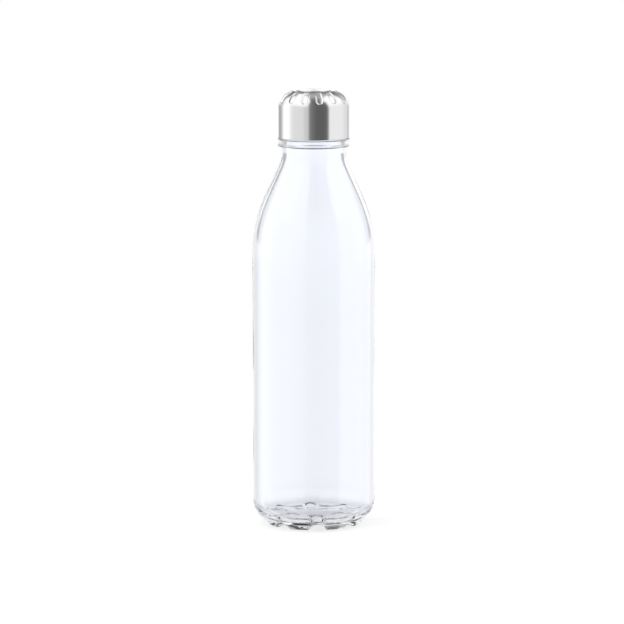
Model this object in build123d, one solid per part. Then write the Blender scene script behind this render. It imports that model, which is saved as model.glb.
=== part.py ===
from build123d import *
import os
from math import atan2, cos, radians, sin, sqrt, tan

# Glass water bottle with a screw cap: a drawn steel shell over a clear threaded insert.
# Millimetres. The origin is the centre of the resting plane, +Z is up through the mouth,
# and -Y is the front.

# ---------------------------------------------------------------- driving dimensions
TOTAL_HEIGHT = 256.0  # resting plane to the top of the steel cap
BODY_R = 36.0
LIP_Z = 240.0  # sealing lip of the glass
WALL = 2.6  # glass wall up the body

# Glass outline
SHOULDER_START_Z = 160.0  # top of the cylindrical body
SHOULDER_R = 82.0  # convex arc that rolls the body into the cone
CONE_ANGLE = 24.5  # degrees from vertical
NECK_R = 19.0
NECK_FILLET_R = 20.0  # concave arc from cone to neck
HEEL_R = 14.0  # arc from body to feet
FLOOR_Z = 6.3  # inside floor at its rim, above the resting plane
FLOOR_CROWN = 0.5  # rise of the inside floor to its middle
INNER_HEEL_R = 8.0
INNER_TAPER = 0.4  # how far the inside wall draws in on its way down to the floor
NECK_BORE_R = 16.2
MOUTH_BORE_R = 15.6
BORE_TAPER = 3.0  # half the height over which the neck bore narrows to the mouth bore
BORE_TAPER_R = 2.0
LIP_R = 0.9  # rounding of the sealing lip

# Feet: a resting ring cut by radial notches
FOOT_OUTER_R = 27.6
FOOT_TOP_R = 30.4
FOOT_HEIGHT = 3.3
FOOT_INNER_R = 21.5
PUNT_RISE = 2.4
PUNT_EDGE_SLOPE = 0.3  # where the punt meets the resting ring
NOTCH_COUNT = 8
NOTCH_R = 5.2  # radius of the half-round notch
NOTCH_AXIS_Z = -1.2
NOTCH_START_R = 13.5  # where the notch begins, inside the resting ring
NOTCH_FIRST_ANGLE = 274.5  # degrees from +X

# Screw thread
PITCH = 25.4 / 6
THREAD_TURNS = 1.25
FINISH_ROOT_R = 17.9
FINISH_STEP_Z = 227.6  # where the neck steps in to the threaded finish
FINISH_STEP_HEIGHT = 1.1
FINISH_STEP_FILLET = 0.5
GLASS_RIDGE_R = 1.15  # radius of the round glass thread
GLASS_RIDGE_HELIX_R = 17.7
GLASS_THREAD_Z = 230.6
INSERT_BORE_R = 19.1
INSERT_CREST_R = 18.2
INSERT_RIDGE_CREST = 0.9  # width of the cap thread at its crest
INSERT_RIDGE_BASE = 1.9  # width of the cap thread at its root
RIDGE_EMBED = 0.2  # how far the ridge is sunk into the insert's wall
INSERT_THREAD_TURN = 0.25  # the cap's thread starts this far round from the glass one

# Cap
SHELL_R = 20.8
SHELL_WALL = 0.5
SHELL_BOTTOM_Z = 228.1
SHELL_SHOULDER_R = 9.75
SHELL_HEM = 0.5  # inward turn of the shell's lower edge
HEM_SINK = 0.1  # how far the hem stays inside the shell's outer face
TOP_DISC_R = 10.2  # flat disc in the middle of the dome
TOP_DISC_RISE = 0.35
TOP_DISC_FILLET = 0.3
FLUTE_COUNT = 14
FLUTE_TOOL_R = 2.9
FLUTE_DEPTH = 0.75  # at the lower end
FLUTE_FADE = (1.0, 0.6, 0.15)  # shares of that depth at the lower end, middle and top
FLUTE_LOW_ANGLE = 30.0  # degrees up the shoulder arc
FLUTE_HIGH_ANGLE = 85.0
FLUTE_FIRST_ANGLE = 279.9  # degrees from +X

# Clear insert
RING_R = 21.1
RING_BOTTOM_Z = 222.9
RING_TOP_Z = 228.0
RING_BORE_R = 19.35
RING_CORNER_R = 1.3  # outer lower corner
RING_EDGE_R = 0.3  # the other corners
RING_LEAD = 1.0  # height of the taper from the ring's bore to the threaded bore
INSERT_R = 19.95
SPLINE_COUNT = 24
SPLINE_HEIGHT = 0.3
SPLINE_WIDTH = 1.4
SPLINE_START = 1.5  # above the shell's hem
HEM_PLAY = 0.1  # between the hem and the foot of its groove
HEM_HEADROOM = 0.4  # between the hem and the top of its groove
CEILING_Z = 242.0
CEILING_THICKNESS = 2.0
RIM_HEIGHT = 3.5  # upright rim above the ceiling
RIM_CHAMFER = (1.0, 2.0)  # radial and axial
RIM_WALL = 1.9
INSERT_FILLET = 0.5
TOP_PLAY = 0.4  # between the boss and the shell
RIB_COUNT = 8
RIB_THICKNESS = 1.2
RIB_PLAY = 1.6  # between the ribs and the shell
RIB_RIM_HEIGHT = 3.3
RIB_FLAT = 7.0  # length of the rib's level top outside the boss
OVERLAP = 0.4  # how far joined features run into each other
BOSS_R = 5.0

# Seal
SEAL_OUTER_R = 18.3
SEAL_INNER_R = 12.5
SEAL_GAP = 0.05  # above the lip and below the ceiling
SEAL_FILLET = 0.3


def revolved(outline):
    """Turn a closed X-Z outline about the Z axis."""
    return revolve(make_face(outline), Axis.Z)


def rz(r, z):
    return (r, 0, z)


def cone_radius(z, inset):
    """Radius of the shoulder cone at a height, moved inwards by inset across the wall."""
    corner_z = SHOULDER_START_Z + SHOULDER_R * tan(radians(CONE_ANGLE / 2))
    slope = tan(radians(CONE_ANGLE))
    return BODY_R - (z - corner_z) * slope - inset / cos(radians(CONE_ANGLE))


def cone_height(r, inset):
    """Height at which the shoulder cone has a radius."""
    slope = tan(radians(CONE_ANGLE))
    return (cone_radius(0, inset) - r) / slope


def helical_ridge(section, helix_r, start_z, start_turn):
    """Thread ridge: a section in (radial, axial) offsets swept up a right-hand helix."""
    path = Helix(PITCH, THREAD_TURNS * PITCH, helix_r, center=(0, 0, start_z))
    start = Plane(origin=path @ 0, x_dir=(1, 0, 0), z_dir=path % 0)
    ridge = sweep(start * section, path=path, is_frenet=True)
    return Rot(0, 0, 360 * start_turn) * ridge


# ---------------------------------------------------------------- glass bottle
def glass_outline():
    heel_centre_r = BODY_R - HEEL_R
    heel_rise = sqrt(HEEL_R**2 - (FOOT_TOP_R - heel_centre_r) ** 2)
    heel_z = FOOT_HEIGHT + heel_rise
    heel_mid = atan2(-heel_rise, FOOT_TOP_R - heel_centre_r) / 2
    floor_r = BODY_R - WALL - INNER_TAPER
    floor_top = FLOOR_Z + FLOOR_CROWN
    outside = [
        Line(rz(FOOT_INNER_R, 0), rz(FOOT_OUTER_R, 0)),
        Line(rz(FOOT_OUTER_R, 0), rz(FOOT_TOP_R, FOOT_HEIGHT)),
        ThreePointArc(
            rz(FOOT_TOP_R, FOOT_HEIGHT),
            rz(heel_centre_r + HEEL_R * cos(heel_mid), heel_z + HEEL_R * sin(heel_mid)),
            rz(BODY_R, heel_z),
        ),
    ]
    body = FilletPolyline(
        rz(BODY_R, heel_z),
        rz(BODY_R, cone_height(BODY_R, 0)),
        rz(NECK_R, cone_height(NECK_R, 0)),
        rz(NECK_R, FINISH_STEP_Z),
        rz(FINISH_ROOT_R, FINISH_STEP_Z + FINISH_STEP_HEIGHT),
        rz(FINISH_ROOT_R, LIP_Z),
        rz(MOUTH_BORE_R, LIP_Z),
        rz(MOUTH_BORE_R, FINISH_STEP_Z + BORE_TAPER),
        rz(NECK_BORE_R, FINISH_STEP_Z - BORE_TAPER),
        rz(NECK_BORE_R, cone_height(NECK_BORE_R, WALL)),
        rz(BODY_R - WALL, cone_height(BODY_R - WALL, WALL)),
        rz(floor_r, FLOOR_Z),
        rz(0, floor_top),
        radius=[
            SHOULDER_R,
            NECK_FILLET_R,
            FINISH_STEP_FILLET,
            FINISH_STEP_FILLET,
            LIP_R,
            LIP_R,
            BORE_TAPER_R,
            BORE_TAPER_R,
            NECK_FILLET_R + WALL,
            SHOULDER_R - WALL,
            INNER_HEEL_R,
        ],
    )
    underside = [
        Line(rz(0, floor_top), rz(0, PUNT_RISE)),
        Spline(
            rz(0, PUNT_RISE),
            rz(FOOT_INNER_R, 0),
            tangents=[(1, 0, 0), (1, 0, -PUNT_EDGE_SLOPE)],
        ),
    ]
    return Wire(outside + body.edges() + underside)


def foot_notch(angle):
    """Half-round radial notch between two feet."""
    length = BODY_R
    bar = Pos(length / 2 + NOTCH_START_R, 0, NOTCH_AXIS_Z) * Rot(0, 90, 0)
    return Rot(0, 0, angle) * bar * Cylinder(NOTCH_R, length)


def make_glass_bottle():
    bottle = revolve(Face(glass_outline()), Axis.Z)
    ridge = helical_ridge(Circle(GLASS_RIDGE_R), GLASS_RIDGE_HELIX_R, GLASS_THREAD_Z, 0)
    bottle += ridge
    for turns in (0, THREAD_TURNS):
        end = Rot(0, 0, 360 * turns) * Pos(
            GLASS_RIDGE_HELIX_R, 0, GLASS_THREAD_Z + turns * PITCH
        )
        bottle += end * Sphere(GLASS_RIDGE_R)
    step = 360 / NOTCH_COUNT
    bottle -= [foot_notch(NOTCH_FIRST_ANGLE + k * step) for k in range(NOTCH_COUNT)]
    return bottle


# ---------------------------------------------------------------- steel cap shell
def dome(inset):
    """The cap's solid shape, inset by a wall thickness from the outside."""
    top = TOTAL_HEIGHT - inset
    shoulder_top = top - TOP_DISC_RISE
    side = SHELL_R - inset
    disc_r = TOP_DISC_R - inset / 2
    return revolved(
        FilletPolyline(
            rz(0, SHELL_BOTTOM_Z),
            rz(side, SHELL_BOTTOM_Z),
            rz(side, shoulder_top),
            rz(disc_r + TOP_DISC_RISE, shoulder_top),
            rz(disc_r, top),
            rz(0, top),
            radius=[0, SHELL_SHOULDER_R - inset, TOP_DISC_FILLET, TOP_DISC_FILLET],
        )
        + Line(rz(0, top), rz(0, SHELL_BOTTOM_Z))
    )


def flute_tool(extra):
    """Round-ended bar that follows the shoulder arc, grown by extra for the inside face."""
    centre_r = SHELL_R - SHELL_SHOULDER_R
    centre_z = TOTAL_HEIGHT - TOP_DISC_RISE - SHELL_SHOULDER_R
    angles = (FLUTE_LOW_ANGLE, (FLUTE_LOW_ANGLE + FLUTE_HIGH_ANGLE) / 2, FLUTE_HIGH_ANGLE)
    points = []
    for angle, share in zip(angles, FLUTE_FADE):
        reach = SHELL_SHOULDER_R + FLUTE_TOOL_R - FLUTE_DEPTH * share
        points.append(
            rz(centre_r + reach * cos(radians(angle)), centre_z + reach * sin(radians(angle)))
        )
    path = ThreePointArc(*points)
    section = Plane(origin=path @ 0, z_dir=path % 0) * Circle(FLUTE_TOOL_R + extra)
    bar = sweep(section, path=path)
    return bar + Pos(*(path @ 0)) * Sphere(FLUTE_TOOL_R + extra)


def flutes(extra):
    tool = flute_tool(extra)
    step = 360 / FLUTE_COUNT
    return [Rot(0, 0, FLUTE_FIRST_ANGLE + k * step) * tool for k in range(FLUTE_COUNT)]


def make_cap_shell():
    hollow = dome(SHELL_WALL) - flutes(SHELL_WALL)
    shell = dome(0) - flutes(0) - hollow
    hem = Pos(0, 0, SHELL_BOTTOM_Z) * Cylinder(
        SHELL_R - HEM_SINK, SHELL_WALL, align=(Align.CENTER, Align.CENTER, Align.MIN)
    )
    hem -= Pos(0, 0, SHELL_BOTTOM_Z) * Cylinder(SHELL_R - SHELL_WALL - SHELL_HEM, 2 * SHELL_WALL)
    return shell + hem


# ---------------------------------------------------------------- clear threaded insert
def insert_outline():
    groove_r = SHELL_R - SHELL_WALL - SHELL_HEM - HEM_PLAY
    groove_top = SHELL_BOTTOM_Z + SHELL_WALL + HEM_HEADROOM
    ceiling_top = CEILING_Z + CEILING_THICKNESS
    rim_top = ceiling_top + RIM_HEIGHT
    boss_top = TOTAL_HEIGHT - SHELL_WALL - TOP_PLAY
    return FilletPolyline(
        rz(0, CEILING_Z),
        rz(INSERT_BORE_R, CEILING_Z),
        rz(INSERT_BORE_R, RING_TOP_Z),
        rz(RING_BORE_R, RING_TOP_Z - RING_LEAD),
        rz(RING_BORE_R, RING_BOTTOM_Z),
        rz(RING_R, RING_BOTTOM_Z),
        rz(RING_R, RING_TOP_Z),
        rz(groove_r, RING_TOP_Z),
        rz(groove_r, groove_top),
        rz(INSERT_R, groove_top),
        rz(INSERT_R, rim_top - RIM_CHAMFER[1]),
        rz(INSERT_R - RIM_CHAMFER[0], rim_top),
        rz(INSERT_R - RIM_WALL, rim_top),
        rz(INSERT_R - RIM_WALL, ceiling_top),
        rz(BOSS_R, ceiling_top),
        rz(BOSS_R, boss_top),
        rz(0, boss_top),
        radius=[
            INSERT_FILLET,
            0,
            0,
            RING_EDGE_R,
            RING_CORNER_R,
            RING_EDGE_R,
            0,
            0,
            0,
            0,
            0,
            RING_EDGE_R,
            INSERT_FILLET,
            INSERT_FILLET,
            INSERT_FILLET,
        ],
    ) + Line(rz(0, boss_top), rz(0, CEILING_Z))


def insert_rib():
    """Stiffening rib between the boss and the rim, under the steel dome."""
    low = CEILING_Z + CEILING_THICKNESS - OVERLAP
    outer = INSERT_R - RIM_WALL + OVERLAP
    inner = BOSS_R - OVERLAP
    high = TOTAL_HEIGHT - SHELL_WALL - RIB_PLAY
    profile = Polyline(
        rz(inner, low),
        rz(outer, low),
        rz(outer, low + RIB_RIM_HEIGHT),
        rz(BOSS_R + RIB_FLAT, high),
        rz(inner, high),
        close=True,
    )
    return extrude(make_face(profile), RIB_THICKNESS / 2, dir=(0, 1, 0), both=True)


def insert_spline():
    """Low upright rib that keys the insert to the steel shell."""
    low = SHELL_BOTTOM_Z + SHELL_WALL + SPLINE_START
    high = CEILING_Z + CEILING_THICKNESS
    depth = 2 * SPLINE_HEIGHT
    return Pos(INSERT_R, 0, (low + high) / 2) * Box(depth, SPLINE_WIDTH, high - low)


def make_thread_insert():
    insert = revolved(insert_outline())
    for k in range(RIB_COUNT):
        insert += Rot(0, 0, k * 360 / RIB_COUNT) * insert_rib()
    splines = [
        Rot(0, 0, k * 360 / SPLINE_COUNT) * insert_spline() for k in range(SPLINE_COUNT)
    ]
    insert += splines
    root = INSERT_BORE_R + RIDGE_EMBED - INSERT_CREST_R
    crest = INSERT_RIDGE_CREST / 2
    base = INSERT_RIDGE_BASE / 2
    section = make_face(Polyline((0, -crest), (0, crest), (root, base), (root, -base), close=True))
    start_z = GLASS_THREAD_Z + (INSERT_THREAD_TURN - 0.5) * PITCH
    insert += helical_ridge(section, INSERT_CREST_R, start_z, INSERT_THREAD_TURN)
    return insert


# ---------------------------------------------------------------- seal
def make_seal_washer():
    height = CEILING_Z - LIP_Z - 2 * SEAL_GAP
    ring = Cylinder(SEAL_OUTER_R, height) - Cylinder(SEAL_INNER_R, height)
    ring = fillet(ring.edges().filter_by(GeomType.CIRCLE), SEAL_FILLET)
    return Pos(0, 0, LIP_Z + SEAL_GAP + height / 2) * ring


def main():
    os.makedirs("parts", exist_ok=True)
    nodes = {
        "glass_bottle": make_glass_bottle(),
        "cap_shell": make_cap_shell(),
        "thread_insert": make_thread_insert(),
        "seal_washer": make_seal_washer(),
    }
    for name, shape in nodes.items():
        shape.label = name
        export_step(shape, f"parts/{name}.step")


main()
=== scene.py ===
from math import acos, atan2, cos, degrees, hypot, pi, radians, sin, sqrt, tan

import bpy
import numpy as np
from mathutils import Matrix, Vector


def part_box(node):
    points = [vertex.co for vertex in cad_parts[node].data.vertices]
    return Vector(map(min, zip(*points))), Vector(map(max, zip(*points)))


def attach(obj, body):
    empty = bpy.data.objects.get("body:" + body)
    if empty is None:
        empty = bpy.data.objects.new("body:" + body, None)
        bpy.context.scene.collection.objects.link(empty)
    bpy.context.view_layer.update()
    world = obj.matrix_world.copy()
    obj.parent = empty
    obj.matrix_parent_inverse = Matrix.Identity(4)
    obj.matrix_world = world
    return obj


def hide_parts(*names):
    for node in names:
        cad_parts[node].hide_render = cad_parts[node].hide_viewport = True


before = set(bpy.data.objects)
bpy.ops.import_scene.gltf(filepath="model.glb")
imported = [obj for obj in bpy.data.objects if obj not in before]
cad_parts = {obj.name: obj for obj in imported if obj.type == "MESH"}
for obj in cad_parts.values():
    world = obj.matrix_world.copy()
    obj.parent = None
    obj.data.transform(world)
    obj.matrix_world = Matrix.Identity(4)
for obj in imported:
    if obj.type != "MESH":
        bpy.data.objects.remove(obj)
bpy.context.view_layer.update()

# A clear glass water bottle with a fluted steel screw cap. Shapes are worked out in
# millimetres in the CAD frame (+Z up, origin under the feet, front towards -Y) and
# written to Blender in metres.
MM = 0.001


def box_mm(node):
    """Lowest and highest corner of a CAD node."""
    low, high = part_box(node)
    return low / MM, high / MM


_, glass_high = box_mm("glass_bottle")
shell_low, shell_high = box_mm("cap_shell")
insert_low, insert_high = box_mm("thread_insert")
seal_low, seal_high = box_mm("seal_washer")

# ---------------------------------------------------------------- dimensions
TOP_Z = shell_high.z
LIP_Z = glass_high.z
BODY_R = glass_high.x
SHELL_R = shell_high.x
SHELL_BOTTOM_Z = shell_low.z
RING_R = insert_high.x
RING_BOTTOM_Z = insert_low.z

# Glass
WALL = 2.6
SHOULDER_START_Z = 160.0
SHOULDER_R = 82.0
CONE_ANGLE = radians(24.5)  # from vertical
NECK_R = 19.0
NECK_FILLET_R = 20.0
HEEL_R = 14.0
FLOOR_Z = 6.3
FLOOR_CROWN = 0.5
INNER_HEEL_R = 8.0
INNER_TAPER = 0.4  # how far the inside wall draws in on its way down to the floor
NECK_BORE_R = 16.2
MOUTH_BORE_R = 15.6
BORE_TAPER = 3.0  # half the height over which the neck bore narrows to the mouth bore
BORE_TAPER_R = 2.0
BORE_TOP_Z = LIP_Z - 1.0
LIP_R = 0.9  # rounding of the sealing lip
FINISH_STEP_Z = 227.6
FINISH_STEP_HEIGHT = 1.1
FINISH_STEP_FILLET = 0.5
FINISH_ROOT_R = 17.9
FOOT_OUTER_R = 27.6
FOOT_TOP_R = 30.4
FOOT_HEIGHT = 3.3
FOOT_INNER_R = 21.5
FOOT_MIDDLE_R = 24.6
FOOT_CROWN = 0.35  # rise of the resting ring to its inner edge
FOOT_CORNER_R = 1.4
FOOT_RING_R = 12.0
PUNT_RISE = 2.4
PUNT_ROWS = 20
NOTCH_COUNT = 8
NOTCH_R = 5.2
NOTCH_AXIS_Z = -1.2
NOTCH_FIRST = radians(274.5)
NOTCH_FALL = 5.0  # how far a notch's ceiling drops towards the punt, where it ends
NO_NOTCH_Z = -4.0  # height given to the ceiling between the notches, clear of the glass
NOTCH_TOP_Z = FOOT_HEIGHT * 2.2  # the outside of the glass is not cut above this
NOTCH_EDGE = 0.7  # rounding of the feet's outer edges
NOTCH_INNER_EDGE = 3.0  # and of their inner ones
GLASS_SEGMENTS = 288

# Thread
PITCH = 25.4 / 6
THREAD_TURNS = 1.25
GLASS_THREAD_Z = 230.6
GLASS_RIDGE_R = 1.15
GLASS_HELIX_R = 17.7
GLASS_RIDGE_BLEND = 0.3  # rounding of the corner between the ridge and the neck
INSERT_BORE_R = 19.1
INSERT_CREST_R = 18.2
INSERT_CREST_HALF = 0.45  # half the width of the cap thread at its crest
INSERT_FLANK = 0.5  # height over which each of its sides slopes back to the bore
INSERT_THREAD_TURN = 0.25  # the cap's thread starts this far round from the glass one

# Cap shell
SHELL_WALL = 0.5
SHELL_HEM = 0.5  # inward turn of the lower edge
HEM_R = 0.25  # rounding of that turn
HEM_ROW_Z = SHELL_BOTTOM_Z + 0.5  # the closely spaced rows start here
SHOULDER_ARC_R = 9.75
TOP_DISC_R = 10.2
TOP_DISC_RISE = 0.35
TOP_DISC_FILLET = 0.3
FLUTE_COUNT = 14
FLUTE_FIRST = radians(279.9)
FLUTE_DEPTH = 0.7
FLUTE_HALF_WIDTH = 2.15
FLUTE_WALL = 0.75
FLUTE_LOW_ANGLE = 30.0
FLUTE_FADE_ANGLE = 62.0
FLUTE_HIGH_ANGLE = 88.0
SHELL_SEGMENTS = FLUTE_COUNT * 50

# Insert
RING_TOP_Z = 228.0
RING_BORE_R = 19.35
RING_CORNER_R = 1.3
RING_LEAD = 1.0  # height of the taper from the ring's bore to the threaded bore
INSERT_R = 19.95
GROOVE_R = SHELL_R - SHELL_WALL - 0.6  # foot of the groove that takes the steel's hem
GROOVE_TOP_Z = SHELL_BOTTOM_Z + 0.9
SEAL_GAP = 0.05
CEILING_Z = seal_high.z + SEAL_GAP
CEILING_THICKNESS = 2.0
CEILING_TOP_Z = CEILING_Z + CEILING_THICKNESS
RIM_HEIGHT = 3.5  # upright rim above the ceiling
RIM_WALL = 1.9
RIM_CHAMFER = (1.0, 2.0)  # radial and axial
BOSS_R = 5.0
RIB_COUNT = 8
RIB_HALF = 0.6  # half the thickness
RIB_PLAY = 1.6  # between the ribs and the shell
RIB_RIM_HEIGHT = 3.2
RIB_FLAT = 7.0  # length of the rib's level top outside the boss
INSERT_SEGMENTS = 256

# Seal
SEAL_INNER_R = 12.5
SEAL_FILLET = 0.35
SEAL_SEGMENTS = 192


# ---------------------------------------------------------------- outlines
def straight(start, end, step):
    """Points along a straight run, without its first point."""
    count = max(1, int(round(hypot(end[0] - start[0], end[1] - start[1]) / step)))
    return [
        (start[0] + (end[0] - start[0]) * k / count, start[1] + (end[1] - start[1]) * k / count)
        for k in range(1, count + 1)
    ]


def rounded(corners, radii, steps, arc_step=6.0):
    """Points round a path of corners, each rounded to its radius; steps are per straight run."""
    path = [corners[0]]
    here = corners[0]
    for k in range(1, len(corners) - 1):
        corner = Vector(corners[k])
        back = (Vector(corners[k - 1]) - corner).normalized()
        ahead = (Vector(corners[k + 1]) - corner).normalized()
        half = acos(max(-1.0, min(1.0, back.dot(ahead)))) / 2
        radius = radii[k - 1]
        reach = radius / tan(half) if radius else 0.0
        enter = corner + back * reach
        leave = corner + ahead * reach
        path += straight(here, tuple(enter), steps[k - 1])
        if radius:
            centre = corner + (back + ahead).normalized() * (radius / sin(half))
            first = enter - centre
            turn = pi - 2 * half
            side = 1.0 if first.x * (leave - centre).y - first.y * (leave - centre).x > 0 else -1.0
            count = max(2, int(round(degrees(turn) / arc_step)))
            for j in range(1, count + 1):
                angle = side * turn * j / count
                spun = Vector(
                    (
                        first.x * cos(angle) - first.y * sin(angle),
                        first.x * sin(angle) + first.y * cos(angle),
                    )
                )
                path.append(tuple(centre + spun))
        here = tuple(leave)
    return path + straight(here, corners[-1], steps[-1])


def arc(centre, radius, start, end, step):
    """Points along an arc in degrees, without its first point."""
    count = max(1, int(round(abs(end - start) / step)))
    angles = [radians(start + (end - start) * k / count) for k in range(1, count + 1)]
    return [(centre[0] + radius * cos(a), centre[1] + radius * sin(a)) for a in angles]


def smooth_step(value, low, high):
    """Rises smoothly from 0 at low to 1 at high."""
    t = np.clip((value - low) / (high - low), 0.0, 1.0)
    return t * t * (3 - 2 * t)


def smooth_max(a, b, blend):
    """The larger of two heights, with the crease between them rounded off."""
    near = np.maximum(blend - np.abs(a - b), 0.0) / blend
    return np.maximum(a, b) + near * near * blend / 4


def spin_grid(outline, segments):
    """Radius, height and angle of each point of an outline turned about Z."""
    outline = np.array(outline, float)
    angles = np.arange(segments) * 2 * pi / segments
    r = np.repeat(outline[:, :1], segments, 1)
    z = np.repeat(outline[:, 1:], segments, 1)
    return r, z, np.repeat(angles[None, :], len(outline), 0)


def lathe_mesh(name, r, z, angles, looped=False):
    """A closed mesh from a grid of rows (along the outline) and columns (round the axis).

    The outline runs from axis to axis, or is looped round clear of it.
    """
    rows, columns = r.shape
    points = np.stack([r * np.cos(angles), r * np.sin(angles), z], 2)
    first, last = (0, rows) if looped else (1, rows - 1)
    ring_points = points[first:last].reshape(-1, 3)
    count = last - first
    faces = []
    for i in range(count if looped else count - 1):
        a = i * columns
        b = (i + 1) % count * columns
        for j in range(columns):
            k = (j + 1) % columns
            faces.append((a + j, a + k, b + k, b + j))
    vertices = list(map(tuple, ring_points * MM))
    if not looped:
        # The first and last rows are single points on the axis.
        start, end = len(vertices), len(vertices) + 1
        vertices.append((0.0, 0.0, float(z[0, 0]) * MM))
        vertices.append((0.0, 0.0, float(z[-1, 0]) * MM))
        base = (count - 1) * columns
        for j in range(columns):
            k = (j + 1) % columns
            faces.append((start, k, j))
            faces.append((end, base + j, base + k))
    piece = add_piece(name, vertices, faces)
    piece.data.shade_smooth()
    return piece


def add_piece(name, vertices, faces):
    """A closed mesh with its faces turned outwards, as an object in the scene."""
    mesh = bpy.data.meshes.new(name)
    mesh.from_pydata(vertices, [], faces)
    mesh.update()
    if signed_volume(mesh) < 0:
        mesh.flip_normals()
    piece = bpy.data.objects.new(name, mesh)
    bpy.context.scene.collection.objects.link(piece)
    return piece


def signed_volume(mesh):
    """Volume inside a closed mesh, negative where its faces are turned inwards."""
    mesh.calc_loop_triangles()
    corners = np.zeros(len(mesh.vertices) * 3)
    mesh.vertices.foreach_get("co", corners)
    corners = corners.reshape(-1, 3)
    triangles = np.zeros(len(mesh.loop_triangles) * 3, int)
    mesh.loop_triangles.foreach_get("vertices", triangles)
    a, b, c = corners[triangles.reshape(-1, 3)].transpose(1, 0, 2)
    return float(np.einsum("ij,ij->i", a, np.cross(b, c)).sum() / 6)


def helix_offset(angles, z, start_z, start_turn):
    """Height above the nearest turn of the thread, and how far along it in turns."""
    turn = (angles / (2 * pi) - start_turn) % 1.0
    best = np.full(z.shape, 99.0)
    along = np.zeros(z.shape)
    for whole in range(3):
        position = turn + whole
        offset = z - (start_z + position * PITCH)
        allowed = position <= THREAD_TURNS + 0.06
        nearer = allowed & (np.abs(offset) < np.abs(best))
        best = np.where(nearer, offset, best)
        along = np.where(nearer, position, along)
    return best, along


def thread_share(along, start, end):
    """1 along the thread, fading to 0 over a run of turns at its start and at its end."""
    rising = smooth_step(along, *start)
    falling = smooth_step(along, THREAD_TURNS + end[0], THREAD_TURNS + end[1])
    return rising * (1 - falling)


# ---------------------------------------------------------------- glass bottle
def cone_height(r, inset):
    """Height at which the shoulder cone, moved inwards by inset, has a radius."""
    corner_z = SHOULDER_START_Z + SHOULDER_R * tan(CONE_ANGLE / 2)
    return corner_z + (BODY_R - inset / cos(CONE_ANGLE) - r) / tan(CONE_ANGLE)


def glass_rows():
    """Outline of the glass from the inside floor, over the lip and down to the punt."""
    inner_wall_r = BODY_R - WALL
    heel_centre = BODY_R - HEEL_R
    heel_z = FOOT_HEIGHT + sqrt(HEEL_R**2 - (FOOT_TOP_R - heel_centre) ** 2)
    inside = rounded(
        [
            (0, FLOOR_Z + FLOOR_CROWN),
            (inner_wall_r - INNER_TAPER, FLOOR_Z),
            (inner_wall_r, cone_height(inner_wall_r, WALL)),
            (NECK_BORE_R, cone_height(NECK_BORE_R, WALL)),
            (NECK_BORE_R, FINISH_STEP_Z - BORE_TAPER),
            (MOUTH_BORE_R, FINISH_STEP_Z + BORE_TAPER),
            (MOUTH_BORE_R, BORE_TOP_Z),
        ],
        [INNER_HEEL_R, SHOULDER_R - WALL, NECK_FILLET_R + WALL, BORE_TAPER_R, BORE_TAPER_R],
        [2.4, 4.5, 2.5, 4.0, 2.5, 3.0],
        arc_step=4.0,
    )
    lip = arc((MOUTH_BORE_R + LIP_R, LIP_Z - LIP_R), LIP_R, 180, 90, 18)
    lip += arc((FINISH_ROOT_R - LIP_R, LIP_Z - LIP_R), LIP_R, 90, 0, 18)
    outside = rounded(
        [
            (FINISH_ROOT_R, LIP_Z - LIP_R),
            (FINISH_ROOT_R, FINISH_STEP_Z + FINISH_STEP_HEIGHT),
            (NECK_R, FINISH_STEP_Z),
            (NECK_R, cone_height(NECK_R, 0)),
            (BODY_R, cone_height(BODY_R, 0)),
            (BODY_R, heel_z),
        ],
        [FINISH_STEP_FILLET, FINISH_STEP_FILLET, NECK_FILLET_R, SHOULDER_R],
        [0.25, 0.5, 1.5, 2.5, 4.5],
        arc_step=2.0,
    )
    heel_low = degrees(atan2(FOOT_HEIGHT - heel_z, FOOT_TOP_R - heel_centre))
    heel = arc((heel_centre, heel_z), HEEL_R, 0, heel_low, 1.6)
    foot = rounded(
        [
            (FOOT_TOP_R, FOOT_HEIGHT),
            (FOOT_OUTER_R, 0),
            (FOOT_MIDDLE_R, 0),
            (FOOT_INNER_R, FOOT_CROWN),
        ],
        [FOOT_CORNER_R, FOOT_RING_R],
        [0.35, 0.4, 0.45],
    )[1:]
    punt = [
        (FOOT_INNER_R * (1 - t), FOOT_CROWN + (PUNT_RISE - FOOT_CROWN) * (1 - (1 - t) ** 2))
        for t in np.linspace(0.03, 1.0, PUNT_ROWS)
    ]
    rows = inside + lip + outside + heel + foot + punt
    return rows, len(inside + lip), len(inside + lip + outside)


def notch_ceiling(r, angles):
    """Height of the notches' rounded ceilings, well below the glass between them."""
    pitch = 2 * pi / NOTCH_COUNT
    aside = (angles - NOTCH_FIRST + pitch / 2) % pitch - pitch / 2
    across = r * np.sin(aside)
    rise = np.sqrt(np.maximum(NOTCH_R**2 - across**2, 0.0)) + NOTCH_AXIS_Z
    rise = np.where(np.abs(across) < NOTCH_R, rise, NO_NOTCH_Z)
    return rise - NOTCH_FALL * (1 - smooth_step(r, FOOT_INNER_R - 7, FOOT_INNER_R - 2))


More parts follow.
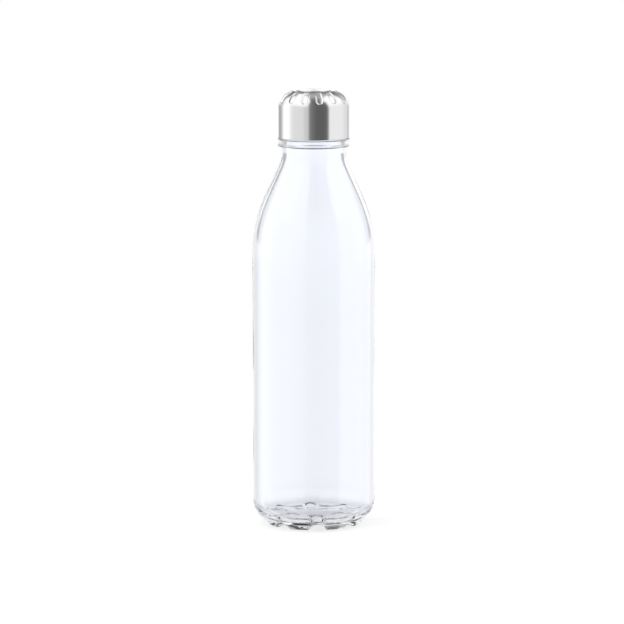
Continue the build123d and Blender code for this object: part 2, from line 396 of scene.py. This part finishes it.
def make_glass_bottle():
    """The glass, with the notches cut into its heel and the thread raised on its finish."""
    outline, outside_row, heel_row = glass_rows()
    r, z, angles = spin_grid(outline, GLASS_SEGMENTS)
    heel = slice(heel_row, None)
    low = z[heel]
    edge = NOTCH_INNER_EDGE + (NOTCH_EDGE - NOTCH_INNER_EDGE) * smooth_step(
        r[heel], FOOT_INNER_R - 1, FOOT_OUTER_R + 0.5
    )
    cut = smooth_max(low, notch_ceiling(r[heel], angles[heel]), edge)
    z[heel] = np.where(low < NOTCH_TOP_Z, cut, low)
    finish = slice(outside_row, heel_row)
    offset, along = helix_offset(angles[finish], z[finish], GLASS_THREAD_Z, 0.0)
    ridge = GLASS_HELIX_R + np.sqrt(np.maximum(GLASS_RIDGE_R**2 - offset**2, 0.0))
    ends = thread_share(along, (-0.02, 0.07), (-0.05, 0.05))
    ridge = np.where(np.abs(offset) < GLASS_RIDGE_R, ridge, 0.0) - 2.0 * (1 - ends)
    r[finish] = smooth_max(r[finish], ridge, GLASS_RIDGE_BLEND)
    piece = lathe_mesh("bottle_glass", r, z, angles)
    piece.data.materials.append(glass_material())
    return piece


# ---------------------------------------------------------------- cap shell
def shell_rows():
    """Outline of the shell, outside and then inside, and the centre of its shoulder arc."""
    shoulder_top = TOP_Z - TOP_DISC_RISE
    centre = (SHELL_R - SHOULDER_ARC_R, shoulder_top - SHOULDER_ARC_R)
    inside_r = SHELL_R - SHELL_WALL
    hem_r = SHELL_R - SHELL_WALL - SHELL_HEM
    hem_top = SHELL_BOTTOM_Z + SHELL_WALL
    outer = [(0.0, TOP_Z)] + rounded(
        [
            (0.3, TOP_Z),
            (TOP_DISC_R, TOP_Z),
            (TOP_DISC_R + TOP_DISC_RISE, shoulder_top),
            (centre[0], shoulder_top),
        ],
        [TOP_DISC_FILLET, TOP_DISC_FILLET],
        [1.2, 0.1, 0.1],
        arc_step=12.0,
    )
    outer += arc(centre, SHOULDER_ARC_R, 90, 0, 1.5)
    outer += straight((SHELL_R, centre[1]), (SHELL_R, HEM_ROW_Z), 2.5)
    outer += straight((SHELL_R, HEM_ROW_Z), (SHELL_R, SHELL_BOTTOM_Z + HEM_R), 0.12)
    outer += arc((SHELL_R - HEM_R, SHELL_BOTTOM_Z + HEM_R), HEM_R, 0, -90, 30)
    turned = [(hem_r, SHELL_BOTTOM_Z), (hem_r, hem_top), (inside_r, hem_top)]
    inner = straight(turned[-1], (inside_r, centre[1]), 4.0)
    inner += arc(centre, SHOULDER_ARC_R - SHELL_WALL, 0, 90, 3.0)
    inner += straight(inner[-1], (TOP_DISC_R, shoulder_top - SHELL_WALL), 0.5)
    inner += straight(inner[-1], (TOP_DISC_R - TOP_DISC_FILLET, TOP_Z - SHELL_WALL), 0.5)
    inner += straight(inner[-1], (0, TOP_Z - SHELL_WALL), 2.5)
    return outer + turned + inner, centre


def flute_depth(r, z, angles, centre):
    """How far the shoulder is pressed in at each point."""
    up = np.degrees(np.arctan2(z - centre[1], np.maximum(r - centre[0], 1e-6)))
    up = np.where(r <= centre[0], 90.0, up)
    pitch = 2 * pi / FLUTE_COUNT
    aside = (angles - FLUTE_FIRST + pitch / 2) % pitch - pitch / 2
    across = r * aside
    below = np.maximum(np.radians(FLUTE_LOW_ANGLE - up) * SHOULDER_ARC_R, 0.0)
    half_width = FLUTE_HALF_WIDTH * np.clip(r / SHELL_R, 0.45, 1.0) ** 0.4
    inside = half_width - np.sqrt(across**2 + below**2)
    fade = 1 - smooth_step(up, FLUTE_FADE_ANGLE, FLUTE_HIGH_ANGLE)
    return FLUTE_DEPTH * fade * smooth_step(inside, -0.1, FLUTE_WALL)


def make_cap_shell():
    """The shell, with its flutes pressed in towards the centre of the shoulder arc."""
    outline, centre = shell_rows()
    r, z, angles = spin_grid(outline, SHELL_SEGMENTS)
    depth = flute_depth(r, z, angles, centre)
    away = np.hypot(np.maximum(r - centre[0], 0.0), np.maximum(z - centre[1], 0.0))
    away = np.maximum(away, 1e-6)
    on_dome = (z > centre[1] + 1e-6) & (r > TOP_DISC_R + TOP_DISC_RISE)
    r = np.where(on_dome, r - depth * np.maximum(r - centre[0], 0.0) / away, r)
    z = np.where(on_dome, z - depth * np.maximum(z - centre[1], 0.0) / away, z)
    piece = lathe_mesh("cap_steel_shell", r, z, angles)
    piece.data.materials.append(steel_material())
    return piece


# ---------------------------------------------------------------- clear insert
def insert_rows():
    """Outline of the insert from the ceiling's middle, down the bore and up to the boss."""
    boss_top = insert_high.z
    rim_top = CEILING_TOP_Z + RIM_HEIGHT
    return rounded(
        [
            (0, CEILING_Z),
            (INSERT_BORE_R, CEILING_Z),
            (INSERT_BORE_R, RING_TOP_Z),
            (RING_BORE_R, RING_TOP_Z - RING_LEAD),
            (RING_BORE_R, RING_BOTTOM_Z),
            (RING_R, RING_BOTTOM_Z),
            (RING_R, RING_TOP_Z),
            (GROOVE_R, RING_TOP_Z),
            (GROOVE_R, GROOVE_TOP_Z),
            (INSERT_R, GROOVE_TOP_Z),
            (INSERT_R, rim_top - RIM_CHAMFER[1]),
            (INSERT_R - RIM_CHAMFER[0], rim_top),
            (INSERT_R - RIM_WALL, rim_top),
            (INSERT_R - RIM_WALL, CEILING_TOP_Z),
            (BOSS_R, CEILING_TOP_Z),
            (BOSS_R, boss_top),
            (0, boss_top),
        ],
        [0.4, 0.1, 0.1, 0.3, RING_CORNER_R, 0.4, 0.1, 0.1, 0.1, 0.1, 0.1, 0.3, 0.5, 0.5, 0.5],
        [3.0, 0.3, 0.5, 1.2, 0.6, 1.2, 1.0, 0.6, 0.3, 1.0, 1.0, 0.8, 1.0, 3.0, 3.0, 3.0],
        arc_step=15.0,
    )


def rib_block(angle):
    """Corners of one stiffening rib between the boss and the rim, and its faces."""
    low = CEILING_TOP_Z
    outer = INSERT_R - RIM_WALL
    high = TOP_Z - SHELL_WALL - RIB_PLAY
    outline = [
        (BOSS_R, low),
        (outer, low),
        (outer, low + RIB_RIM_HEIGHT),
        (BOSS_R + RIB_FLAT, high),
        (BOSS_R, high),
    ]
    corners = [
        (
            (r * cos(angle) - side * RIB_HALF * sin(angle)) * MM,
            (r * sin(angle) + side * RIB_HALF * cos(angle)) * MM,
            z * MM,
        )
        for side in (-1, 1)
        for r, z in outline
    ]
    count = len(outline)
    faces = [tuple(range(count)), tuple(range(2 * count - 1, count - 1, -1))]
    for j in range(count):
        k = (j + 1) % count
        faces.append((k, j, j + count, k + count))
    return corners, faces


def make_ribs():
    """The insert's stiffening ribs, under the steel dome."""
    vertices, faces = [], []
    for k in range(RIB_COUNT):
        corners, sides = rib_block(k * 2 * pi / RIB_COUNT)
        base = len(vertices)
        vertices += corners
        faces += [tuple(base + v for v in side) for side in sides]
    return add_piece("insert_ribs", vertices, faces)


def make_thread_insert():
    """The insert, with its thread raised on the bore."""
    r, z, angles = spin_grid(insert_rows(), INSERT_SEGMENTS)
    start_z = GLASS_THREAD_Z + (INSERT_THREAD_TURN - 0.5) * PITCH
    offset, along = helix_offset(angles, z, start_z, INSERT_THREAD_TURN)
    slope = np.clip((np.abs(offset) - INSERT_CREST_HALF) / INSERT_FLANK, 0.0, 1.0)
    ends = thread_share(along, (-0.01, 0.05), (-0.05, 0.01))
    crest = INSERT_BORE_R - (INSERT_BORE_R - INSERT_CREST_R) * (1 - slope) * ends
    in_bore = (np.abs(r - INSERT_BORE_R) < 0.05) & (z < CEILING_Z - 0.5)
    on_ridge = np.abs(offset) < INSERT_CREST_HALF + INSERT_FLANK
    r = np.where(in_bore & on_ridge, np.minimum(r, crest), r)
    piece = lathe_mesh("insert_clear", r, z, angles)
    piece.data.materials.append(plastic_material())
    return piece


# ---------------------------------------------------------------- seal
def make_seal():
    """The washer, whose outline is looped round its section."""
    outer, inner = seal_high.x, SEAL_INNER_R
    low, high = seal_low.z, seal_high.z
    middle = (low + high) / 2
    outline = rounded(
        [
            (outer, middle),
            (outer, high),
            (inner, high),
            (inner, low),
            (outer, low),
            (outer, middle),
        ],
        [SEAL_FILLET] * 4,
        [0.6, 0.8, 0.6, 0.8, 0.6],
        arc_step=15.0,
    )[:-1]
    r, z, angles = spin_grid(outline, SEAL_SEGMENTS)
    piece = lathe_mesh("seal_silicone", r, z, angles, looped=True)
    piece.data.materials.append(silicone_material())
    return piece


# ---------------------------------------------------------------- materials
def new_material(name, **settings):
    """A node material and its Principled shader, with constants on the shader's own sockets."""
    material = bpy.data.materials.new(name)
    material.use_nodes = True
    tree = material.node_tree
    shader = tree.nodes["Principled BSDF"]
    for socket, value in settings.items():
        shader.inputs[socket.replace("_", " ")].default_value = value
    return material, tree, shader


def object_coordinates(tree):
    return tree.nodes.new("ShaderNodeTexCoord").outputs["Object"]


def noise(tree, place, scale, detail=2.0, roughness=0.5):
    texture = tree.nodes.new("ShaderNodeTexNoise")
    texture.inputs["Scale"].default_value = scale
    texture.inputs["Detail"].default_value = detail
    texture.inputs["Roughness"].default_value = roughness
    tree.links.new(place, texture.inputs["Vector"])
    return texture.outputs["Fac"]


def vary_colour(tree, shader, factor, low, high):
    mix = tree.nodes.new("ShaderNodeMix")
    mix.data_type = "RGBA"
    mix.inputs[6].default_value = (*low, 1)
    mix.inputs[7].default_value = (*high, 1)
    tree.links.new(factor, mix.inputs[0])
    tree.links.new(mix.outputs[2], shader.inputs["Base Color"])


def vary_roughness(tree, shader, factor, low, high):
    rough = tree.nodes.new("ShaderNodeMapRange")
    rough.inputs["To Min"].default_value = low
    rough.inputs["To Max"].default_value = high
    tree.links.new(factor, rough.inputs["Value"])
    tree.links.new(rough.outputs[0], shader.inputs["Roughness"])


def add_bump(tree, shader, height, strength, distance):
    bump = tree.nodes.new("ShaderNodeBump")
    bump.inputs["Strength"].default_value = strength
    bump.inputs["Distance"].default_value = distance
    tree.links.new(height, bump.inputs["Height"])
    tree.links.new(bump.outputs[0], shader.inputs["Normal"])


def combine(tree, operation, a, b):
    """One step of arithmetic between a socket and a socket or number."""
    step = tree.nodes.new("ShaderNodeMath")
    step.operation = operation
    tree.links.new(a, step.inputs[0])
    if isinstance(b, (int, float)):
        step.inputs[1].default_value = b
    else:
        tree.links.new(b, step.inputs[1])
    return step.outputs[0]


def glass_material():
    """Moulded glass with a faint blue tint and the slow ripple of its mould."""
    material, tree, shader = new_material(
        "clear_glass", Roughness=0.0, IOR=1.5, Transmission_Weight=1.0
    )
    place = object_coordinates(tree)
    tint = noise(tree, place, 9.0)
    vary_colour(tree, shader, tint, (0.930, 0.944, 0.980), (0.942, 0.955, 0.990))
    stretch = tree.nodes.new("ShaderNodeMapping")
    stretch.inputs["Scale"].default_value = (1.0, 1.0, 0.35)
    tree.links.new(place, stretch.inputs["Vector"])
    ripple = noise(tree, stretch.outputs[0], 55.0, detail=1.0)
    add_bump(tree, shader, ripple, 0.25, 0.0004)
    return material


def steel_material():
    """Stainless steel brushed round the axis."""
    material, tree, shader = new_material(
        "brushed_steel", Metallic=1.0, IOR=2.5, Anisotropic=0.85, Anisotropic_Rotation=0.25
    )
    split = tree.nodes.new("ShaderNodeSeparateXYZ")
    tree.links.new(object_coordinates(tree), split.inputs[0])
    angle = combine(tree, "ARCTAN2", split.outputs["Y"], split.outputs["X"])
    flat = tree.nodes.new("ShaderNodeCombineXYZ")
    tree.links.new(split.outputs["X"], flat.inputs["X"])
    tree.links.new(split.outputs["Y"], flat.inputs["Y"])
    radius = tree.nodes.new("ShaderNodeVectorMath")
    radius.operation = "LENGTH"
    tree.links.new(flat.outputs[0], radius.inputs[0])
    # Brush lines are close together up the side and out over the dome, and long round it.
    across = combine(tree, "SUBTRACT", split.outputs["Z"], radius.outputs["Value"])
    grain = tree.nodes.new("ShaderNodeCombineXYZ")
    tree.links.new(combine(tree, "MULTIPLY", across, 5200.0), grain.inputs["X"])
    tree.links.new(combine(tree, "MULTIPLY", angle, 4.0), grain.inputs["Y"])
    streaks = noise(tree, grain.outputs[0], 1.0, detail=4.0, roughness=0.65)
    vary_colour(tree, shader, streaks, (0.53, 0.53, 0.54), (0.64, 0.64, 0.645))
    vary_roughness(tree, shader, streaks, 0.12, 0.22)
    tangent = tree.nodes.new("ShaderNodeTangent")
    tangent.direction_type = "RADIAL"
    tangent.axis = "Z"
    tree.links.new(tangent.outputs[0], shader.inputs["Tangent"])
    add_bump(tree, shader, streaks, 0.12, 0.00002)
    return material


def plastic_material():
    """Clear moulded plastic, slightly cloudy."""
    material, tree, shader = new_material(
        "clear_plastic", Roughness=0.03, IOR=1.49, Transmission_Weight=1.0
    )
    cloud = noise(tree, object_coordinates(tree), 160.0)
    vary_colour(tree, shader, cloud, (0.95, 0.955, 0.965), (0.975, 0.98, 0.985))
    add_bump(tree, shader, cloud, 0.15, 0.0001)
    return material


def silicone_material():
    """Milky silicone with a fine matt grain."""
    material, tree, shader = new_material(
        "silicone", IOR=1.41, Subsurface_Weight=0.35, Subsurface_Scale=0.002
    )
    grain = noise(tree, object_coordinates(tree), 900.0, detail=3.0)
    vary_colour(tree, shader, grain, (0.78, 0.79, 0.80), (0.86, 0.87, 0.87))
    vary_roughness(tree, shader, grain, 0.38, 0.55)
    add_bump(tree, shader, grain, 0.2, 0.00005)
    return material


# ---------------------------------------------------------------- studio
# Brightness of the studio walls by direction in degrees: 0 is the front (-Y), positive is
# to the viewer's right, 180 is the white backdrop.
STUDIO_RING = [  # (azimuth, level)
    (-180, 1.02),
    (-160, 1.02),
    (-150, 0.55),
    (-138, 0.60),
    (-124, 1.05),
    (-112, 1.85),
    (-90, 1.75),
    (-80, 1.40),
    (-68, 1.22),
    (-36, 1.18),
    (-27, 0.98),
    (-18, 0.95),
    (-15, 0.45),
    (-9, 0.30),
    (-2, 0.26),
    (8, 0.19),
    (30, 0.18),
    (42, 0.21),
    (48, 0.45),
    (53, 1.40),
    (104, 1.40),
    (120, 1.22),
    (134, 1.15),
    (148, 0.75),
    (160, 1.02),
    (180, 1.02),
]
UPPER_LIGHT = 1.75  # the side lights above the bottle's shoulder, and overhead
BACKDROP_GLOW = 1.45  # the lit strip low on the backdrop
BACK_DARK = 0.28  # above the backdrop
OVERHEAD_STRIP = [  # (direction's Y, level)
    (-1.0, 0.15),
    (-0.69, 0.20),
    (-0.47, 0.27),
    (-0.21, 0.42),
    (0.0, 0.69),
    (0.47, 0.65),
    (0.87, 0.40),
    (1.0, 0.30),
]
CLEAR_VIEW = 0.92  # what shows through the glass where the studio front is dark
CLEAR_LIMIT = 1.12  # the brightest anything looks through the glass
NECK_CORNERS = 0.40  # the far corners behind the neck
TABLE_SHADE = 0.78  # the table near the base
TABLE_LIGHT = 1.075  # the table beyond that shade
SLOT_LEVEL = 0.05  # the dark slot low behind the bottle
SIDE_CORNER_LEVEL = 0.35
SIDE_CORNERS = [  # (azimuth, share of that level)
    (-128, 0),
    (-120, 1),
    (-106, 1),
    (-100, 0),
    (-80, 0),
    (-74, 1),
    (-56, 1),
    (-48, 0),
    (48, 0),
    (56, 1),
    (74, 1),
    (80, 0),
    (100, 0),
    (106, 1),
    (120, 1),
    (128, 0),
]
RAMP_SCALE = 2.0  # levels above 1 need it, because a ramp's colours are stored from 0 to 1


def azimuth_socket(tree, split):
    """Direction round the object in degrees."""
    towards_front = product(tree, split.outputs["Y"], -1.0)
    angle = combine(tree, "ARCTAN2", split.outputs["X"], towards_front)
    in_degrees = tree.nodes.new("ShaderNodeMath")
    in_degrees.operation = "DEGREES"
    tree.links.new(angle, in_degrees.inputs[0])
    return in_degrees.outputs[0]


def ramp(tree, source, stops):
    """A colour ramp of grey levels; stops are (value of the source, level) in rising order."""
    low, high = stops[0][0], stops[-1][0]
    place = tree.nodes.new("ShaderNodeMapRange")
    place.inputs["From Min"].default_value = low
    place.inputs["From Max"].default_value = high
    tree.links.new(source, place.inputs["Value"])
    made = tree.nodes.new("ShaderNodeValToRGB")
    elements = made.color_ramp.elements
    elements.remove(elements[1])
    for k, (value, level) in enumerate(stops):
        position = (value - low) / (high - low)
        stop = elements[0] if k == 0 else elements.new(position)
        stop.position = position
        stop.color = (level, level, level, 1)
    tree.links.new(place.outputs[0], made.inputs[0])
    return made.outputs[0]


def mix_value(tree, factor, a, b):
    """a where the factor is 0 and b where it is 1; each may be a socket or a number."""
    mix = tree.nodes.new("ShaderNodeMix")
    mix.data_type = "FLOAT"
    for socket, value in ((mix.inputs[0], factor), (mix.inputs[2], a), (mix.inputs[3], b)):
        if isinstance(value, (int, float)):
            socket.default_value = value
        else:
            tree.links.new(value, socket)
    return mix.outputs[0]


def product(tree, a, b):
    return combine(tree, "MULTIPLY", a, b)


def level_ramp(tree, source, stops, scale):
    """A ramp whose levels go up to scale."""
    low_levels = ramp(tree, source, [(value, level / scale) for value, level in stops])
    return product(tree, low_levels, scale)


def seen_through_glass(tree, level, azimuth, height):
    """The studio as rays that have come through glass or clear plastic see it.

    The front wall is pale, so that the bottle is clear from every side, the far corners
    are paler behind the body than behind the neck, and the table near the base is in shade.
    Light that was never reflected sees dark corners at the sides too, which give the glass
    its outline when the bottle is seen from the side. Light turned back inside the base sees
    a dark slot low behind the bottle.
    """
    lifted = combine(tree, "MAXIMUM", level, CLEAR_VIEW)
    front = ramp(tree, azimuth, [(-60, 0), (-40, 1), (70, 1), (90, 0)])
    near_level = ramp(tree, height, [(-0.55, 0.55), (-0.40, 1), (0.45, 1), (0.65, 0)])
    corners = ramp(
        tree,
        azimuth,
        [
            (-168, 0),
            (-158, 0.85),
            (-120, 0.85),
            (-108, 0),
            (126, 0),
            (136, 0.92),
            (158, 0.92),
            (168, 0),
        ],
    )
    behind_body = ramp(tree, height, [(-0.07, 1), (-0.02, 0)])
    behind_neck = ramp(tree, height, [(-0.06, 0), (-0.02, 1), (0.25, 1), (0.35, 0)])
    neck_corners = ramp(
        tree,
        azimuth,
        [(-153, 0), (-147, 1), (-128, 1), (-118, 0), (118, 0), (128, 1), (147, 1), (153, 0)],
    )
    side_corners = ramp(tree, azimuth, SIDE_CORNERS)
    near_body = ramp(tree, height, [(-0.40, 0), (-0.30, 1), (0.25, 1), (0.35, 0)])
    slot = ramp(tree, azimuth, [(-176, 0), (-171, 1), (-159, 1), (-154, 0)])
    above_table = ramp(tree, height, [(-0.03, 0), (0.0, 1), (0.22, 1), (0.30, 0)])
    light_path = tree.nodes.new("ShaderNodeLightPath")
    path = light_path.outputs["Is Transmission Ray"]
    # How many times the light was reflected inside the glass.
    reflections = light_path.outputs["Glossy Depth"]
    side_part = product(tree, near_body, combine(tree, "LESS_THAN", reflections, 0.5))
    slot_part = product(tree, above_table, combine(tree, "GREATER_THAN", reflections, 0.5))
    sights = (
        (front, near_level, lifted),
        (corners, behind_body, lifted),
        (neck_corners, behind_neck, NECK_CORNERS),
        (side_corners, side_part, SIDE_CORNER_LEVEL),
        (slot, slot_part, SLOT_LEVEL),
    )
    for place, part, seen in sights:
        share = product(tree, product(tree, place, part), path)
        level = mix_value(tree, share, level, seen)
    level = mix_value(tree, path, level, combine(tree, "MINIMUM", level, CLEAR_LIMIT))
    rising = [(-0.42, TABLE_SHADE), (-0.26, 1.0), (-0.135, 1.0), (-0.088, TABLE_LIGHT)]
    table = level_ramp(tree, height, rising, TABLE_LIGHT)
    return product(tree, level, mix_value(tree, path, 1.0, table))


def make_world():
    """A studio of light and dark walls, white to the camera itself."""
    world = bpy.data.worlds.new("studio")
    bpy.context.scene.world = world
    world.use_nodes = True
    tree = world.node_tree
    tree.nodes.clear()
    coordinates = tree.nodes.new("ShaderNodeTexCoord")
    split = tree.nodes.new("ShaderNodeSeparateXYZ")
    tree.links.new(coordinates.outputs["Generated"], split.inputs[0])
    azimuth = azimuth_socket(tree, split)
    ring = level_ramp(tree, azimuth, STUDIO_RING, RAMP_SCALE)
    height = split.outputs["Z"]
    # The side lights are brighter above the bottle's shoulder.
    upper = ramp(tree, height, [(0.20, 0), (0.45, 1)])
    sides = ramp(
        tree,
        azimuth,
        [(-150, 0), (-120, 1), (-30, 1), (-14, 0), (44, 0), (60, 1), (120, 1), (150, 0)],
    )
    lit = mix_value(tree, product(tree, upper, sides), ring, UPPER_LIGHT)
    # The backdrop is low: above it, and overhead, the studio is dark.
    behind = ramp(tree, azimuth, [(-150, 1), (-125, 0), (125, 0), (150, 1)])
    above_backdrop = ramp(tree, height, [(0.20, 0), (0.27, 1)])
    glow = ramp(tree, height, [(0.01, 0), (0.05, 1), (0.16, 1), (0.22, 0)])
    lit = mix_value(tree, product(tree, behind, glow), lit, BACKDROP_GLOW)
    dark_back = product(tree, behind, above_backdrop)
    # Overhead, a dark strip runs from the front over the cap between the two side lights.
    overhead = ramp(tree, height, [(0.66, 0), (0.80, 1)])
    strip = ramp(tree, split.outputs["X"], [(-0.22, 0), (-0.12, 1), (0.26, 1), (0.38, 0)])
    strip_level = ramp(tree, split.outputs["Y"], OVERHEAD_STRIP)
    above = mix_value(tree, strip, UPPER_LIGHT, strip_level)
    level = mix_value(tree, dark_back, lit, BACK_DARK)
    level = mix_value(tree, overhead, level, above)
    level = seen_through_glass(tree, level, azimuth, height)
    path = tree.nodes.new("ShaderNodeLightPath")
    level = mix_value(tree, path.outputs["Is Camera Ray"], level, 1.0)
    background = tree.nodes.new("ShaderNodeBackground")
    background.inputs["Color"].default_value = (1, 1, 1, 1)
    tree.links.new(level, background.inputs["Strength"])
    output = tree.nodes.new("ShaderNodeOutputWorld")
    tree.links.new(background.outputs[0], output.inputs["Surface"])


FLOOR_R = 1.2
FLOOR_GLOW = 0.72  # the floor's own share of its brightness, so that its shadow stays faint
FLOOR_ALBEDO = 0.36
FLOOR_DROP = 0.0002  # keeps the feet's resting faces clear of the floor
FLOOR_CORNERS = 96


def make_floor():
    """The pale table, seen by the camera but not through or in the bottle."""
    angles = [2 * pi * k / FLOOR_CORNERS for k in range(FLOOR_CORNERS)]
    rim = [(FLOOR_R * cos(angle), FLOOR_R * sin(angle), 0) for angle in angles]
    mesh = bpy.data.meshes.new("floor")
    mesh.from_pydata(rim, [], [tuple(range(FLOOR_CORNERS))])
    floor = bpy.data.objects.new("floor", mesh)
    floor.location.z = -FLOOR_DROP
    bpy.context.scene.collection.objects.link(floor)
    material, _, _ = new_material(
        "floor",
        Base_Color=(FLOOR_ALBEDO, FLOOR_ALBEDO, FLOOR_ALBEDO, 1),
        Roughness=1.0,
        Specular_IOR_Level=0.0,
        Emission_Color=(1, 1, 1, 1),
        Emission_Strength=FLOOR_GLOW,
    )
    floor.data.materials.append(material)
    floor.visible_glossy = False
    floor.visible_transmission = False


CAMERA_DISTANCE = 2.2
CAMERA_ELEVATION = radians(7.6)
CAMERA_LENS = 216.0
AIM = Vector((-0.00103, 0, 0.1253))


def make_camera():
    """The photo's viewpoint, a little above the bottle and in front of it."""
    data = bpy.data.cameras.new("camera")
    data.lens = CAMERA_LENS
    data.sensor_width = 36.0
    data.clip_start = 0.05
    data.clip_end = 50.0
    camera = bpy.data.objects.new("camera", data)
    back = Vector((0, -cos(CAMERA_ELEVATION), sin(CAMERA_ELEVATION)))
    camera.location = AIM + back * CAMERA_DISTANCE
    camera.rotation_mode = "QUATERNION"
    camera.rotation_quaternion = (-back).to_track_quat("-Z", "Y")
    bpy.context.scene.collection.objects.link(camera)
    bpy.context.scene.camera = camera


# ---------------------------------------------------------------- assembly
make_camera()
make_world()
make_floor()
bpy.context.scene.view_settings.view_transform = "Standard"
# Light is reflected many times inside the thick base before it gets out.
bpy.context.scene.cycles.max_bounces = 32
bpy.context.scene.cycles.glossy_bounces = 8
bpy.context.scene.cycles.transmission_bounces = 32

bottle = make_glass_bottle()
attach(bottle, "bottle")
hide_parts("glass_bottle")

shell = make_cap_shell()
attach(shell, "cap")
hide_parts("cap_shell")

insert = make_thread_insert()
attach(insert, "cap")
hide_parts("thread_insert")

ribs = make_ribs()
ribs.data.materials.append(insert.data.materials[0])
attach(ribs, "cap")

seal = make_seal()
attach(seal, "seal")
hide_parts("seal_washer")
